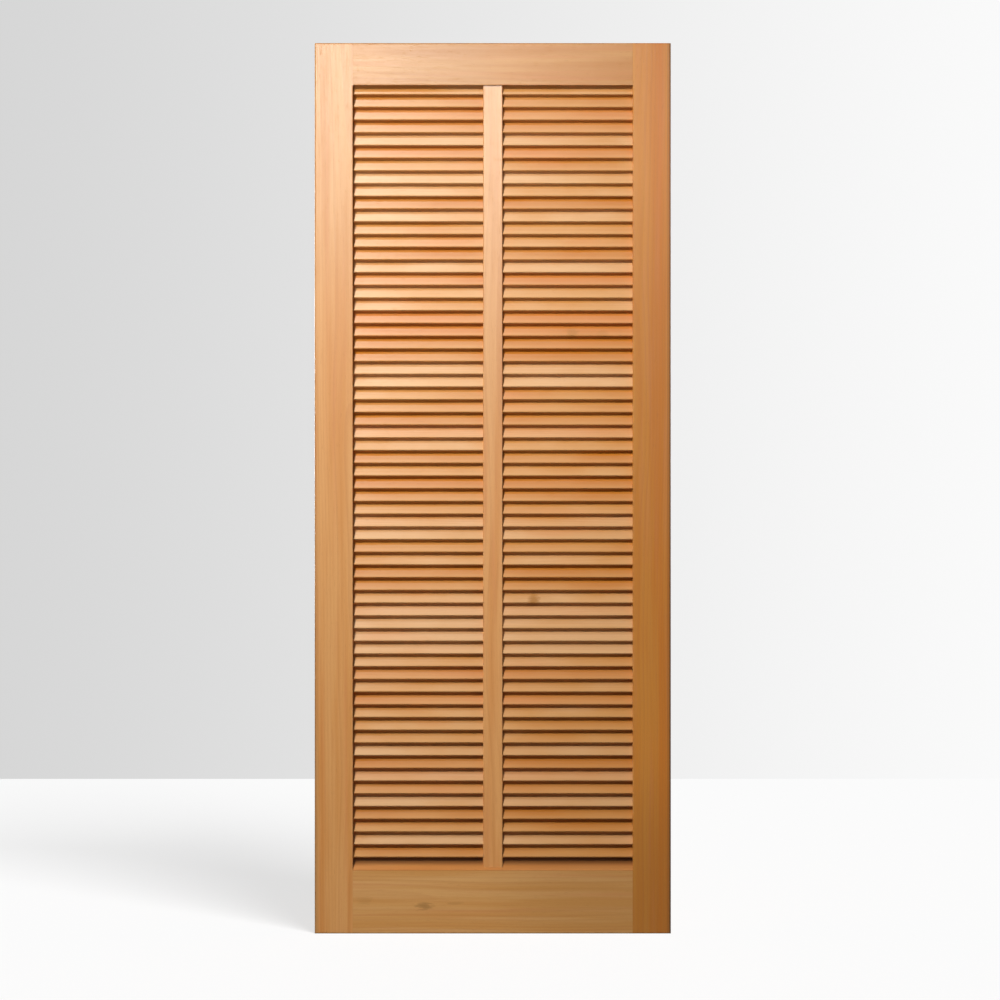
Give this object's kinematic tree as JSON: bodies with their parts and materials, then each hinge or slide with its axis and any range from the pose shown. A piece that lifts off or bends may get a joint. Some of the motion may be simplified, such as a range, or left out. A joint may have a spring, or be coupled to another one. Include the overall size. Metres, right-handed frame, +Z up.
{
  "type": "louvred door",
  "caption": "Tall wooden door leaf with fixed sloping slats in a doweled frame of stiles and rails, tied by a narrow upright stay up the middle of each face.",
  "frame": {"origin": "middle of the leaf's bottom edge, halfway across its width and its thickness", "axes": "+X to the right seen from the front, +Y through the thickness towards the back, +Z up the leaf"},
  "size_m": [0.84, 0.035, 2.1],
  "materials": {
    "frame_wood": "satin",
    "slat_wood": "satin",
    "dowel_wood": "bare"
  },
  "bodies": {
    "root": {"back_stay": "frame_wood", "bottom_left_dowels": "dowel_wood", "bottom_rail": "frame_wood", "bottom_right_dowels": "dowel_wood", "front_stay": "frame_wood", "left_stile": "frame_wood", "right_stile": "frame_wood", "slat_pair_01": "slat_wood", "slat_pair_02": "slat_wood", "slat_pair_03": "slat_wood", "slat_pair_04": "slat_wood", "slat_pair_05": "slat_wood", "slat_pair_06": "slat_wood", "slat_pair_07": "slat_wood", "slat_pair_08": "slat_wood", "slat_pair_09": "slat_wood", "slat_pair_10": "slat_wood", "slat_pair_11": "slat_wood", "slat_pair_12": "slat_wood", "slat_pair_13": "slat_wood", "slat_pair_14": "slat_wood", "slat_pair_15": "slat_wood", "slat_pair_16": "slat_wood", "slat_pair_17": "slat_wood", "slat_pair_18": "slat_wood", "slat_pair_19": "slat_wood", "slat_pair_20": "slat_wood", "slat_pair_21": "slat_wood", "slat_pair_22": "slat_wood", "slat_pair_23": "slat_wood", "slat_pair_24": "slat_wood", "slat_pair_25": "slat_wood", "slat_pair_26": "slat_wood", "slat_pair_27": "slat_wood", "slat_pair_28": "slat_wood", "slat_pair_29": "slat_wood", "slat_pair_30": "slat_wood", "top_left_dowels": "dowel_wood", "top_rail": "frame_wood", "top_right_dowels": "dowel_wood", "top_slat": "slat_wood"}
  },
  "joints": []
}
